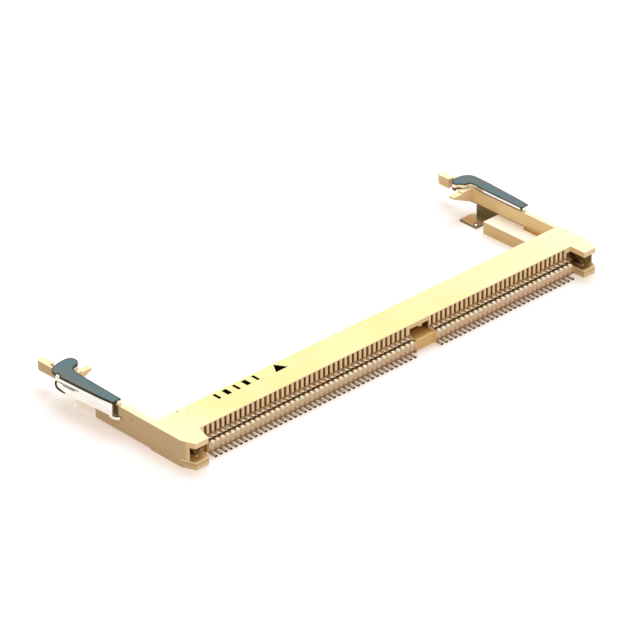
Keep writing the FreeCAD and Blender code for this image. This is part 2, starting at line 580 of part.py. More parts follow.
doc.recompute()
for item in doc.Objects:
    for word in ("Invalid", "Error"):
        if word in item.State:
            raise RuntimeError("%s is in state %s" % (item.Label, item.State))
total = 0
for body in [item for item in doc.Objects if item.TypeId == "PartDesign::Body"]:
    shape = body.Shape
    if shape.isNull() or not shape.isValid():
        raise RuntimeError("%s has no valid shape" % body.Label)
    shape.exportStep("parts/%s.step" % body.Label)
    facets = len(shape.tessellate(0.1)[1])
    total += facets
    limits = shape.BoundBox
    print("%-26s solids %d volume %9.3f triangles %5d  X %.2f %.2f Y %.2f %.2f Z %.2f %.2f" % (
        body.Label, len(shape.Solids), shape.Volume, facets, limits.XMin, limits.XMax,
        limits.YMin, limits.YMax, limits.ZMin, limits.ZMax))
print("triangles in all", total)
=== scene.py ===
import math

import bmesh
import bpy
from mathutils import Matrix, Vector


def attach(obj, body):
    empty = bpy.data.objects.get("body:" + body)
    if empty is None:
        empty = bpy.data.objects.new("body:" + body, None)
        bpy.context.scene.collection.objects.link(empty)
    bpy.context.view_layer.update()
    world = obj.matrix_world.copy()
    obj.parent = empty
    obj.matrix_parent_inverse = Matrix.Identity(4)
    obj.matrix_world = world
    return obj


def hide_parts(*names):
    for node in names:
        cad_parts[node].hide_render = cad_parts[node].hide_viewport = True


# Looks of a right-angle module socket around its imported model.
# Shapes are written in millimetres and put into metres by MM.

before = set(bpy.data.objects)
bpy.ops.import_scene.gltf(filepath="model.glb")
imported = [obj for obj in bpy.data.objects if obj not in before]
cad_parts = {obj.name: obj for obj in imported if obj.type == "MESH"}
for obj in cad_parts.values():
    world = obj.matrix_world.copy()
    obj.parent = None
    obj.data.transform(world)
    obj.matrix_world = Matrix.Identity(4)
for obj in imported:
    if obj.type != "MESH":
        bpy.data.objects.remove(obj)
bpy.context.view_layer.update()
scene = bpy.context.scene

MM = 0.001
PITCH = 0.8
# first contact, number of contacts in a row, number of groups they are packed in
WIDE = (-30.1, 42, 7)
NARROW = (7.3, 30, 5)

# ---------------------------------------------------------------- camera
SENSOR, PICTURE = 36.0, 640.0
SHOT = {
    # in millimetres, but for the focal length in pixels
    "place": (-308.369, -319.279, 260.763),
    "toward": (0.590471, 0.635020, -0.498089),
    "roll": math.radians(-0.7774),
    "focal": 4216.763,
}


def make_camera():
    toward = Vector(SHOT["toward"]).normalized()
    right = toward.cross(Vector((0, 0, 1))).normalized()
    up = right.cross(toward)
    c, s = math.cos(SHOT["roll"]), math.sin(SHOT["roll"])
    right, up = right * c + up * s, up * c - right * s
    data = bpy.data.cameras.new("camera")
    cam = bpy.data.objects.new("camera", data)
    turn = Matrix((right, up, -toward)).transposed().to_4x4()
    cam.matrix_world = Matrix.Translation(Vector(SHOT["place"]) * MM) @ turn
    data.sensor_width = SENSOR
    data.lens = SHOT["focal"] * SENSOR / PICTURE
    data.clip_start, data.clip_end = 0.01, 20.0
    scene.collection.objects.link(cam)
    scene.camera = cam


make_camera()


# ---------------------------------------------------------------- materials
class Nodes:
    """A short way to write a node tree."""

    def __init__(self, name):
        self.mat = bpy.data.materials.new(name)
        self.mat.use_nodes = True
        self.tree = self.mat.node_tree
        self.tree.nodes.clear()
        self.out = self.add("ShaderNodeOutputMaterial")
        self.shader = self.add("ShaderNodeBsdfPrincipled")
        self.link(self.shader, "BSDF", self.out, "Surface")

    def add(self, kind, **props):
        node = self.tree.nodes.new(kind)
        for key, value in props.items():
            setattr(node, key, value)
        return node

    def link(self, a, out, b, into):
        self.tree.links.new(a.outputs[out], b.inputs[into])

    def put(self, value, node, into):
        """A number, colour or another node's socket goes into an input."""
        if isinstance(value, bpy.types.NodeSocket):
            self.tree.links.new(value, node.inputs[into])
        else:
            node.inputs[into].default_value = value

    def math(self, kind, a, b=0.0):
        node = self.add("ShaderNodeMath", operation=kind)
        self.put(a, node, 0)
        self.put(b, node, 1)
        return node.outputs[0]

    def ramp(self, value, low, high, to_low=0.0, to_high=1.0):
        node = self.add("ShaderNodeMapRange", interpolation_type="SMOOTHSTEP")
        self.put(value, node, "Value")
        self.put(low, node, "From Min")
        self.put(high, node, "From Max")
        self.put(to_low, node, "To Min")
        self.put(to_high, node, "To Max")
        return node.outputs[0]

    def mix(self, share, a, b, kind="MIX"):
        node = self.add("ShaderNodeMix", data_type="RGBA", blend_type=kind)
        self.put(share, node, 0)
        self.put(a, node, 6)
        self.put(b, node, 7)
        return node.outputs[2]

    def place(self):
        coord = self.add("ShaderNodeTexCoord")
        split = self.add("ShaderNodeSeparateXYZ")
        self.link(coord, "Object", split, 0)
        return coord.outputs["Object"], split.outputs

    def normal(self):
        geo = self.add("ShaderNodeNewGeometry")
        split = self.add("ShaderNodeSeparateXYZ")
        self.link(geo, "Normal", split, 0)
        return split.outputs

    def noise(self, where, scale, detail=3.0, stretch=None):
        if stretch:
            node = self.add("ShaderNodeMapping")
            self.put(where, node, "Vector")
            node.inputs["Scale"].default_value = stretch
            where = node.outputs[0]
        node = self.add("ShaderNodeTexNoise")
        self.put(where, node, "Vector")
        node.inputs["Scale"].default_value = scale
        node.inputs["Detail"].default_value = detail
        node.inputs["Roughness"].default_value = 0.55
        return node.outputs["Fac"]

    def bump(self, height, distance, strength=0.3):
        node = self.add("ShaderNodeBump")
        node.inputs["Strength"].default_value = strength
        node.inputs["Distance"].default_value = distance
        self.put(height, node, "Height")
        self.tree.links.new(node.outputs[0], self.shader.inputs["Normal"])

    def set(self, **values):
        for key, value in values.items():
            self.put(value, self.shader, key.replace("_", " "))


def rgb(red, green, blue):
    """Screen colour, 0 to 255, as the linear colour a shader takes."""
    def line(v):
        v /= 255.0
        return v / 12.92 if v <= 0.04045 else ((v + 0.055) / 1.055) ** 2.4
    return (line(red), line(green), line(blue), 1.0)


SPECKS = [
    # x, y, z, radius in mm, colour, strength
    (-30.45, 4.58, 3.62, 0.17, (95, 95, 40), 0.9),
    (-26.0, 4.72, 3.62, 0.16, (150, 145, 105), 0.6),
    (-29.98, 3.19, 3.62, 0.2, (225, 215, 150), 0.7),
    (34.1, 3.1, 3.62, 0.22, (165, 160, 130), 0.6),
    (-34.55, 9.45, 2.78, 0.12, (90, 75, 50), 0.7),
    (-34.55, 8.1, 2.72, 0.16, (85, 70, 45), 0.7),
    (-34.55, 7.55, 2.85, 0.13, (235, 220, 190), 0.8),
    (-34.55, 6.7, 2.62, 0.12, (110, 92, 62), 0.6),
]


def housing_material():
    n = Nodes("ivory_resin")
    where, at = n.place()
    x, y, z = at[0], at[1], at[2]
    _, ny, nz = n.normal()
    wide = n.math("ABSOLUTE", x)

    def band(value, low, high, soft=0.06):
        """One between two places in millimetres, nought outside them."""
        rise = n.ramp(value, (low - soft) * MM, low * MM)
        return n.math("MULTIPLY", rise, n.ramp(value, (high + soft) * MM, high * MM))

    def both(*shares):
        share = shares[0]
        for other in shares[1:]:
            share = n.math("MULTIPLY", share, other)
        return share

    broad = n.noise(where, 160.0, 2.0)
    flow = n.noise(where, 420.0, 4.0, stretch=(0.16, 1.0, 1.0))
    fine = n.noise(where, 5200.0, 2.0)
    colour = n.mix(n.ramp(broad, 0.3, 0.7), rgb(254, 247, 178), rgb(251, 240, 164))
    colour = n.mix(n.ramp(flow, 0.42, 0.72, 0.0, 0.35), colour, rgb(254, 251, 204))
    # paler ends and arms
    ends = n.ramp(wide, 26.0 * MM, 33.0 * MM, 0.0, 0.75)
    colour = n.mix(ends, colour, rgb(254, 250, 212))
    colour = n.mix(n.ramp(x, 6.0 * MM, 20.0 * MM, 0.0, 0.45), colour, rgb(254, 252, 218))
    # painted shade and light: upright faces are painted warmer and darker than the tops, as shade
    # falls on them, and rear faces are painted paler, as painted light from the rear
    upright = n.ramp(n.math("ABSOLUTE", nz), 0.85, 0.3)
    colour = n.mix(upright, colour, rgb(255, 231, 176))
    key = both(n.ramp(x, 3.36 * MM, 3.44 * MM), n.ramp(x, 6.8 * MM, 6.72 * MM))
    bank = both(n.math("SUBTRACT", 1.0, key), n.ramp(wide, 31.2 * MM, 31.1 * MM))
    streaks = n.noise(where, 900.0, 3.0, stretch=(1.0, 0.12, 1.0))
    dull = both(upright, n.ramp(streaks, 0.5, 0.68, 0.0, 0.55))
    colour = n.mix(dull, colour, rgb(226, 216, 150))
    warm = both(upright, n.ramp(streaks, 0.46, 0.3, 0.0, 0.5))
    colour = n.mix(warm, colour, rgb(255, 212, 164))
    rear = n.ramp(ny, -0.3, -0.85)
    colour = n.mix(rear, colour, rgb(255, 234, 198))
    # painted shade: the rear face of the comb is painted a darker tan
    comb_face = both(rear, n.ramp(y, -1.1 * MM, -1.2 * MM), bank)
    colour = n.mix(comb_face, colour, rgb(226, 206, 176))
    # painted shade in the mouths in the lower part of the comb: a wave with one period per contact,
    # and the narrow bank stands 0.2 mm off the wide bank's steps
    along = n.math("SUBTRACT", x, n.ramp(x, 4.9 * MM, 5.1 * MM, 0.0, -0.2 * MM))
    along = n.math("ADD", along, -WIDE[0] * MM)
    wave = n.math("COSINE", n.math("MULTIPLY", along, math.tau / (PITCH * MM)))
    mouth_shade = both(comb_face, n.ramp(wave, 0.35, -0.35), n.ramp(z, 1.25 * MM, 0.95 * MM, 0.0, 0.6))
    colour = n.mix(mouth_shade, colour, rgb(150, 116, 78))
    # painted shade: the outer upright faces of the arms are painted darker
    outer = both(n.ramp(wide, 34.2 * MM, 34.4 * MM), upright)
    colour = n.mix(outer, colour, rgb(222, 203, 160))
    # painted light: the ledge tops are painted near white, as tops in full light
    ledge = both(band(wide, 30.9, 34.0), band(z, 1.6, 1.75), n.ramp(nz, 0.5, 0.9),
                 n.ramp(y, 4.9 * MM, 5.1 * MM))
    colour = n.mix(ledge, colour, rgb(255, 255, 244))
    # painted shade: the rear face of the key is painted a darker tan
    key_face = both(key, rear, n.ramp(y, -0.9 * MM, -0.98 * MM))
    colour = n.mix(key_face, colour, rgb(230, 198, 136))
    # painted light: the inside of the ledge window is painted a light orange, as painted bounce
    # light where shade would fall
    window = both(band(wide, 33.1, 33.95, 0.04), band(y, 6.5, 10.0), band(z, -1.0, 1.66, 0.04))
    colour = n.mix(window, colour, rgb(255, 226, 146))
    # painted shadow: a dark line along the lower edge of each arm's inner face
    arm_edge_shadow = both(band(wide, 33.8, 33.92, 0.03), band(y, 9.9, 19.8, 0.2), band(z, 1.6, 1.74, 0.1),
                upright)
    colour = n.mix(n.math("MULTIPLY", arm_edge_shadow, 0.85), colour, rgb(96, 72, 30))
    # painted shade and light: the rear part of the ears' lower plates is painted tan, lighter
    # towards the bottom as painted bounce light from the floor
    ear_foot = both(band(z, -1.0, 1.1), n.ramp(y, -0.6 * MM, -1.4 * MM),
                    n.ramp(wide, 31.1 * MM, 31.2 * MM))
    foot_tone = n.mix(n.ramp(z, 0.75 * MM, 0.15 * MM), rgb(216, 192, 136), rgb(250, 232, 196))
    colour = n.mix(ear_foot, colour, foot_tone)
    # painted shade: low faces that look up are painted a warm orange, as they lie in shade
    low_top = both(n.ramp(nz, 0.5, 0.9), band(z, -1.0, 1.5), n.ramp(y, 14.0 * MM, 13.0 * MM))
    colour = n.mix(low_top, colour, rgb(250, 205, 130))
    # painted shade and highlight: the floor of the key is painted darker at the back and pale at
    # its lit rear edge
    key_floor = both(key, n.ramp(nz, 0.5, 0.9), band(z, 1.6, 1.8))
    key_tone = n.mix(n.ramp(y, -0.8 * MM, -0.92 * MM), rgb(206, 166, 98), rgb(255, 226, 158))
    colour = n.mix(key_floor, colour, key_tone)
    # painted shade: the upper strip of the key's rear face is painted tan
    key_strip = both(key, rear, band(z, 2.7, 3.6))
    colour = n.mix(key_strip, colour, rgb(240, 216, 162))
    # painted shade: the up-facing tops of the shoulder are painted dark grey-brown
    shoulder = both(bank, n.ramp(nz, 0.5, 0.85), band(z, 1.95, 2.3),
                    n.ramp(y, 0.05 * MM, -0.02 * MM))
    shoulder_tone = n.mix(n.ramp(streaks, 0.4, 0.6), rgb(118, 98, 72), rgb(168, 140, 112))
    colour = n.mix(shoulder, colour, shoulder_tone)
    # painted shade: deep in the slots the resin is painted dark brown
    slot_shade = both(n.ramp(y, 0.02 * MM, 0.35 * MM), n.ramp(y, 4.78 * MM, 4.3 * MM),
                  n.ramp(z, 3.52 * MM, 3.3 * MM), n.ramp(wide, 32.0 * MM, 31.8 * MM),
                  n.math("SUBTRACT", 1.0, key_floor))
    colour = n.mix(slot_shade, colour, rgb(116, 72, 12))
    # painted shade in the groove between the comb and the shoulder, and on the comb behind it
    groove = both(band(z, 0.45, 1.84), band(y, -0.84, -0.5, 0.03), bank)
    colour = n.mix(groove, colour, rgb(170, 138, 82))
    # painted shade: the top of the comb is painted dark brown
    comb_top = both(n.ramp(y, -0.8 * MM, -0.84 * MM), band(z, 1.9, 2.0), n.ramp(nz, 0.5, 0.9), bank)
    colour = n.mix(comb_top, colour, rgb(112, 84, 42))
    # painted shade: the foot of the comb's rear face, near the floor, is painted darker
    comb_foot = both(n.ramp(y, -1.1 * MM, -1.2 * MM), n.ramp(z, 0.86 * MM, 0.62 * MM), bank)
    colour = n.mix(comb_foot, colour, rgb(144, 116, 84))
    # edges that catch the light
    lit = both(band(wide, 31.1, 34.7), band(z, 0.86, 1.1, 0.012), n.ramp(y, -0.55 * MM, -0.65 * MM),
               n.ramp(nz, 0.9, 0.7))
    rim = both(rear, band(z, 3.47, 3.63, 0.03))
    colour = n.mix(n.math("MAXIMUM", lit, rim), colour, rgb(255, 246, 214))
    # painted shade in the gap between the plates of an ear, and weaker on the posts at its corner
    # (the left ear's rear faces are spared), with a lighter floor
    gap = both(band(wide, 31.1, 33.93, 0.03), band(z, 1.14, 2.88, 0.03), band(y, -2.5, 2.4))
    corner = both(band(wide, 33.9, 34.7), band(z, 1.1, 2.88, 0.04), band(y, -2.5, -1.1, 0.04),
                  n.math("MAXIMUM", n.ramp(x, 0.0, MM), n.ramp(ny, -0.3, -0.05)))
    colour = n.mix(n.math("MAXIMUM", gap, n.math("MULTIPLY", corner, 0.7)), colour, rgb(88, 58, 16))
    # painted shade on the floor of the gap, lighter to the outer side and more orange on the left
    # ear
    gap_floor = both(band(wide, 31.0, 34.3), band(z, 1.05, 2.6), n.ramp(nz, 0.5, 0.9),
                     band(y, -2.1, 2.4, 0.15))
    floor_tone = n.mix(n.ramp(wide, 32.2 * MM, 34.0 * MM), rgb(146, 112, 62), rgb(196, 172, 104))
    floor_tone = n.mix(n.ramp(x, 0.0, -MM, 0.0, 0.8), floor_tone, rgb(214, 168, 96))
    colour = n.mix(gap_floor, colour, floor_tone)
    # painted shade on the undersides of the ears' upper plates
    under = both(band(wide, 31.1, 34.6), band(z, 2.85, 2.95), n.ramp(nz, -0.5, -0.9))
    colour = n.mix(under, colour, rgb(92, 54, 14))
    # painted shade on the outer face of the arm around the pocket that the latch foot runs into
    pocket = both(band(wide, 34.4, 34.6), band(y, 10.5, 11.5, 0.1), band(z, 2.2, 3.45, 0.12))
    colour = n.mix(n.math("MULTIPLY", pocket, 0.85), colour, rgb(84, 60, 30))
    for sx, sy, sz, radius, tint, strength in SPECKS:
        offset = n.add("ShaderNodeVectorMath", operation="DISTANCE")
        n.put(where, offset, 0)
        offset.inputs[1].default_value = (sx * MM, sy * MM, sz * MM)
        share = n.ramp(offset.outputs["Value"], radius * MM, radius * 0.45 * MM, 0.0, strength)
        colour = n.mix(share, colour, rgb(*tint))
    n.set(Base_Color=colour, Roughness=n.ramp(broad, 0.2, 0.8, 0.36, 0.5), IOR=1.5)
    n.shader.inputs["Specular IOR Level"].default_value = 0.35
    n.bump(n.math("ADD", n.math("MULTIPLY", fine, 0.4), flow), 0.02 * MM, 0.25)
    return n.mat


def metal(name, colour, side_colour, low, high, streak, grain=0.2, outward_lit_colour=None):
    """Sheet steel with painted light, shade and reflection: level faces, upright ones, and those
    upright ones that face outward each get their own tone.
    """
    n = Nodes(name)
    where, at = n.place()
    nx, _, nz = n.normal()
    up = n.math("ABSOLUTE", nz)
    if outward_lit_colour:
        away = n.math("MULTIPLY", nx, n.math("SIGN", at[0]))
        side_colour = n.mix(n.ramp(away, 0.3, 0.8), side_colour, outward_lit_colour)
    lines = n.noise(where, 2600.0, 3.0, stretch=streak)
    cloud = n.noise(where, 500.0, 3.0)
    drift = n.noise(where, 620.0, 2.0, stretch=streak)
    warm = tuple(v * k for v, k in zip(colour, (1.16, 0.98, 0.9, 1.0)))
    cool = tuple(v * k for v, k in zip(colour, (0.84, 1.0, 1.12, 1.0)))
    level = n.mix(n.ramp(drift, 0.35, 0.65), warm, cool)
    tone = n.mix(n.ramp(up, 0.35, 0.8), side_colour, level)
    tone = n.mix(n.ramp(lines, 0.35, 0.7, 0.0, grain), tone, (0.01, 0.012, 0.012, 1.0))
    tone = n.mix(n.ramp(cloud, 0.4, 0.7, 0.0, 0.25), tone, (0.95, 0.95, 0.95, 1.0), "MULTIPLY")
    n.set(Base_Color=tone, Metallic=1.0, Roughness=n.ramp(lines, 0.2, 0.8, low, high))
    n.bump(lines, 0.006 * MM, 0.3)
    return n.mat


def contact_material():
    n = Nodes("tinned_contact")
    where, at = n.place()
    y, z = at[1], at[2]
    up = n.normal()[2]
    # painted light and shade: faces that look up are painted pale, upright ones dark brown
    tone = n.mix(n.ramp(up, 0.1, 0.75), rgb(120, 90, 56), rgb(255, 240, 205))
    spots = n.noise(where, 2600.0, 3.0)
    tone = n.mix(n.ramp(spots, 0.4, 0.75, 0.0, 0.3), tone, rgb(150, 120, 80))
    # painted shade: the legs standing in the mouths of the comb are painted dark
    leg = n.math("MULTIPLY", n.ramp(y, -0.56 * MM, -0.66 * MM), n.ramp(z, 0.3 * MM, 0.4 * MM))
    tone = n.mix(leg, tone, rgb(62, 42, 20))
    foot = n.math("MULTIPLY", n.ramp(z, 0.4 * MM, 0.25 * MM, 0.0, 0.8), n.ramp(y, 1.0 * MM, 0.0))
    tone = n.mix(foot, tone, rgb(236, 214, 178))
    # painted shade: the upright sides of the feet are painted darker
    flank = n.math("MULTIPLY", foot, n.ramp(up, 0.7, 0.2))
    tone = n.mix(flank, tone, rgb(112, 90, 66))
    end = n.math("MULTIPLY", n.ramp(y, -1.68 * MM, -1.78 * MM), 0.95)
    tone = n.mix(end, tone, rgb(34, 22, 14))
    # painted shade: the contacts within the housing are painted dark brown and dull
    slot_shade = n.math("MULTIPLY", n.ramp(y, -0.1 * MM, 0.2 * MM), n.ramp(y, 4.6 * MM, 4.2 * MM))
    tone = n.mix(n.math("MULTIPLY", slot_shade, 0.9), tone, rgb(128, 68, 22))
    dull = n.math("MAXIMUM", slot_shade, foot)
    n.set(Base_Color=tone, Metallic=n.ramp(dull, 0.0, 0.8, 0.6, 0.15),
          Roughness=n.ramp(spots, 0.2, 0.8, 0.3, 0.45))
    n.bump(spots, 0.01 * MM, 0.3)
    return n.mat


def plain_dark(name, colour, rough=0.4, metallic=1.0):
    n = Nodes(name)
    where, _ = n.place()
    cloud = n.noise(where, 1800.0, 3.0)
    tone = n.mix(n.ramp(cloud, 0.3, 0.7), colour, tuple(c * 0.55 for c in colour[:3]) + (1.0,))
    n.set(Base_Color=tone, Metallic=metallic,
          Roughness=n.ramp(cloud, 0.2, 0.8, rough, rough + 0.15))
    n.bump(cloud, 0.01 * MM, 0.2)
    return n.mat


resin = housing_material()
tin = contact_material()
# painted reflection: the latch is one steel sheet, painted dark slate on its top plate and bright
# on its wall, flange, foot and fold
plate_steel = metal("latch_steel_top", rgb(96, 111, 110), rgb(52, 56, 54), 0.2, 0.32,
                    (1.0, 0.12, 1.0), 0.18)
wall_steel = metal("latch_steel_wall", rgb(225, 225, 218), rgb(250, 246, 236), 0.12, 0.26,
                   (1.0, 0.15, 1.0), 0.1)
# dark steel for the plate's edges and a band round its top; on the wall's turned edge and pressed
# lines it is a painted reflection
edge_steel = plain_dark("latch_steel_edge", rgb(60, 54, 44))
shade_steel = plain_dark("latch_steel_shade", rgb(140, 104, 62), 0.5, 0.3)
# painted light and shade: the hold downs are painted tan on level faces, dark on upright faces
# toward the middle and bright on those facing outward
tab_steel = metal("hold_down_steel", rgb(226, 190, 138), rgb(112, 104, 84), 0.25, 0.4,
                  (1.0, 0.3, 1.0), 0.1, outward_lit_colour=rgb(255, 250, 240))
solder = metal("solder", rgb(250, 240, 224), rgb(255, 250, 240), 0.2, 0.35,
               (1.0, 0.3, 1.0), 0.05)
ink = plain_dark("black_ink", rgb(8, 7, 6), 0.85, 0.0)
ink.node_tree.nodes["Principled BSDF"].inputs["Specular IOR Level"].default_value = 0.0


# ---------------------------------------------------------------- mesh helpers
def finish_mesh(name, bm, mats, body, smooth=35.0, bevel=0.0, segments=2):
    """A mesh in millimetres becomes a piece in metres that rides on a body."""
    bmesh.ops.recalc_face_normals(bm, faces=bm.faces)
    bmesh.ops.scale(bm, vec=(MM, MM, MM), verts=bm.verts)
    data = bpy.data.meshes.new(name)
    bm.to_mesh(data)
    bm.free()
    for m in mats:
        data.materials.append(m)
    obj = bpy.data.objects.new(name, data)
    scene.collection.objects.link(obj)
    if bevel:
        mod = obj.modifiers.new("edges", "BEVEL")
        mod.width = bevel * MM
        mod.segments = segments
        mod.limit_method = "ANGLE"
        mod.angle_limit = math.radians(40)
        mod.harden_normals = False
    data.shade_smooth()
    data.set_sharp_from_angle(angle=math.radians(smooth))
    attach(obj, body)
    return obj


def smooth_loop(points, sharp=(), steps=5, closed=True):
    """Rounds a loop of points through its corners, but keeps the sharp ones."""
    count = len(points)
    made = []
    for i in range(count if closed else count - 1):
        p0, p1 = points[(i - 1) % count], points[i]
        p2, p3 = points[(i + 1) % count], points[(i + 2) % count]
        if not closed and i == 0:
            p0 = p1
        if not closed and i == count - 2:
            p3 = p2
        if i in sharp:
            p0 = p1
        if (i + 1) % count in sharp:
            p3 = p2
        for k in range(steps):
            t = k / steps
            made.append(tuple(
                0.5 * (2 * b + (c - a) * t + (2 * a - 5 * b + 4 * c - d) * t * t
                       + (3 * b - a - 3 * c + d) * t ** 3)
                for a, b, c, d in zip(p0, p1, p2, p3)))
    if not closed:
        made.append(tuple(points[-1]))
    return made


def prism(bm, low, high, top, rest):
    """Closed solid between two loops of 3D points with the same count. Returns its top face."""
    a = [bm.verts.new(p) for p in low]
    b = [bm.verts.new(p) for p in high]
    lid = bm.faces.new(b)
    lid.material_index = top
    bm.faces.new(list(reversed(a))).material_index = rest
    for i in range(len(a)):
        j = (i + 1) % len(a)
        bm.faces.new((a[i], a[j], b[j], b[i])).material_index = rest
    return lid


def round_path(points, radius, steps=5):
    """Centreline with an arc at every inner corner, of the radius given for it."""
    made = [Vector(points[0])]
    for i in range(1, len(points) - 1):
        a, b, c = (Vector(points[k]) for k in (i - 1, i, i + 1))
        u, v = (a - b).normalized(), (c - b).normalized()
        angle = u.angle(v)
        reach = min(radius[i - 1] / math.tan(angle / 2),
                    (a - b).length * 0.48, (c - b).length * 0.48)
        r = reach * math.tan(angle / 2)
        centre = b + (u + v).normalized() * (r / math.sin(angle / 2))
        start, end = b + u * reach, b + v * reach
        s, e = start - centre, end - centre
        turn = s.angle(e)
        for k in range(steps + 1):
            t = k / steps
            w = (s * math.sin((1 - t) * turn) + e * math.sin(t * turn)) / math.sin(turn)
            made.append(centre + w)
    made.append(Vector(points[-1]))
    return made


def strip_mesh(bm, path, width, thick, x, trim=0.035):
    """A flat strip with trimmed edges, swept along a path in the YZ plane, centred on x."""
    hw, ht = width / 2, thick / 2
    ring = [(-hw + trim, -ht), (hw - trim, -ht), (hw, -ht + trim), (hw, ht - trim),
            (hw - trim, ht), (-hw + trim, ht), (-hw, ht - trim), (-hw, -ht + trim)]
    rows = []
    for i, p in enumerate(path):
        a = path[max(i - 1, 0)]
        b = path[min(i + 1, len(path) - 1)]
        along = (b - a).normalized()
        side = Vector((-along[1], along[0]))
        rows.append([bm.verts.new((x + w, p[0] + side[0] * h, p[1] + side[1] * h))
                     for w, h in ring])
    for r, s in zip(rows, rows[1:]):
        for i in range(len(ring)):
            j = (i + 1) % len(ring)
            bm.faces.new((r[i], r[j], s[j], s[i]))
    for end in (rows[0], rows[-1]):
        bm.faces.new(end)


# ---------------------------------------------------------------- contacts
STRIP_WIDTH, STRIP_THICK = 0.36, 0.2
UPPER_LINE = [(-1.84, 0.1), (-0.7, 0.1), (-0.7, 2.0), (0.45, 2.0), (0.45, 3.1),
              (2.4, 2.96), (3.5, 2.74), (4.05, 2.93)]
LOWER_LINE = [(6.29, 0.1), (5.25, 0.1), (5.25, 0.65), (1.65, 0.65), (1.65, 1.38),
              (3.3, 1.66), (3.95, 1.4)]
UPPER_BENDS = [0.16, 0.2, 0.14, 0.2, 0.5, 0.4]
LOWER_BENDS = [0.16, 0.2, 0.2, 0.25, 0.4]


def contact_rows():
    for row, line, bends in (("upper", UPPER_LINE, UPPER_BENDS),
                             ("lower", LOWER_LINE, LOWER_BENDS)):
        path = round_path(line, bends, 4)
        for bank, (first, pins, groups) in (("wide", WIDE), ("narrow", NARROW)):
            bm = bmesh.new()
            for k in range(pins):
                strip_mesh(bm, path, STRIP_WIDTH, STRIP_THICK, first + PITCH * k)
            piece = finish_mesh("strips_%s_%s" % (row, bank), bm, [tin], "socket")
            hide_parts(*["contacts_%s_%s_%d" % (row, bank, g + 1)
                                 for g in range(groups)])


contact_rows()

# ---------------------------------------------------------------- latches
# Outlines in plan of the plate and of the flange under its rim, and of the wall from the side.
# The SHARP ones name the corners that stay sharp.
PLATE = [(35.15, 10.72), (35.4, 12.8), (35.57, 15.3), (35.72, 18.0), (35.8, 19.72),
         (35.5, 19.8), (35.46, 20.5), (35.78, 20.6),
         (35.62, 21.3), (35.3, 21.75), (34.6, 22.15), (33.6, 22.38), (32.6, 22.45),
         (32.0, 22.28), (31.72, 21.8), (31.8, 21.1), (32.3, 20.52), (33.1, 20.25),
         (33.5, 19.75), (33.66, 18.4), (33.76, 16.5), (33.85, 12.5), (33.89, 10.72)]
PLATE_SHARP = (0, 4, 5, 6, 7, 22)
PLATE_LOW, PLATE_TOP = 3.93, 4.205
PLATE_NARROW = [(35.15, 10.72), (35.36, 12.6), (35.5, 14.6), (35.63, 16.5), (35.76, 18.4),
                (35.8, 19.6), (35.82, 20.4), (35.78, 21.1), (35.45, 21.8), (34.75, 22.25),
                (33.7, 22.4), (32.85, 22.22), (32.42, 21.7), (32.5, 21.2), (32.85, 20.92),
                (33.15, 20.5), (33.7, 20.22), (34.08, 20.02), (34.15, 19.4), (34.02, 18.3),
                (33.98, 16.5), (33.96, 12.5), (33.93, 10.72)]
PLATE_NARROW_SHARP = (0, 22)
RIM_NARROW = [(33.97, 10.95), (34.01, 12.5), (34.03, 16.5), (34.08, 18.3), (34.2, 19.4),
              (34.12, 20.1), (33.73, 20.3), (33.2, 20.58), (32.9, 21.0), (32.57, 21.25),
              (32.5, 21.7), (32.87, 22.12)]
RIM = [(33.93, 10.95), (33.9, 12.5), (33.81, 16.5), (33.71, 18.4), (33.56, 19.8),
       (33.14, 20.32), (32.35, 20.6), (31.88, 21.12), (31.8, 21.75), (32.05, 22.18), (32.6, 22.35)]
WALL = [(10.95, 3.95), (20.45, 3.95), (20.62, 3.3), (20.68, 2.8), (20.4, 2.35), (19.5, 2.13),
        (12.0, 2.15), (11.0, 2.2)]
WALL_SHARP = (0, 1, 7)
EDGE_OUT = [(20.35, 3.4), (20.56, 3.26), (20.62, 2.8), (20.38, 2.35), (19.6, 2.13), (18.9, 2.12)]
EDGE_IN = [(20.1, 3.34), (20.28, 3.16), (20.32, 2.85), (20.12, 2.58), (19.5, 2.4), (18.9, 2.24)]
FOOT = [(35.0, 11.6), (35.02, 11.0), (34.88, 10.52), (34.58, 10.22)]
FOLD = [(34.02, 10.6), (34.3, 10.52), (34.62, 10.6)]
GLINT = [(35.45, 19.86), (35.74, 19.86), (35.72, 20.5), (35.43, 20.44)]
# material slots of a latch
TOP, SIDE, EDGE, SHADE = 0, 1, 2, 3


def outer(y):
    """Outer side of a latch wall at a place along the arm."""
    return 35.11 + 0.67 * (y - 10.7) / 9.1


def ribbon(bm, line, low, high, thick, sign, mark):
    """An upright sheet along a line in plan, with height limits per point."""
    rows = []
    for i, p in enumerate(line):
        a, b = Vector(line[max(i - 1, 0)]), Vector(line[min(i + 1, len(line) - 1)])
        along = (b - a).normalized()
        out = Vector((along[1], -along[0])) * thick / 2
        lo = low(p) if callable(low) else low
        hi = high(p) if callable(high) else high
        rows.append([bm.verts.new((sign * (p[0] + out[0] * s), p[1] + out[1] * s, z))
                     for s, z in ((-1, lo), (1, lo), (1, hi), (-1, hi))])
    for r, s in zip(rows, rows[1:]):
        for i in range(4):
            j = (i + 1) % 4
            bm.faces.new((r[i], r[j], s[j], s[i])).material_index = mark
    for end in (rows[0], rows[-1]):
        bm.faces.new(end).material_index = mark


def side_plate(bm, loop, sign, near, far, mark):
    """An upright plate between two distances from the outer side of a latch wall."""
    prism(bm, [(sign * (outer(a) + near), a, b) for a, b in loop],
          [(sign * (outer(a) + far), a, b) for a, b in loop], mark, mark)


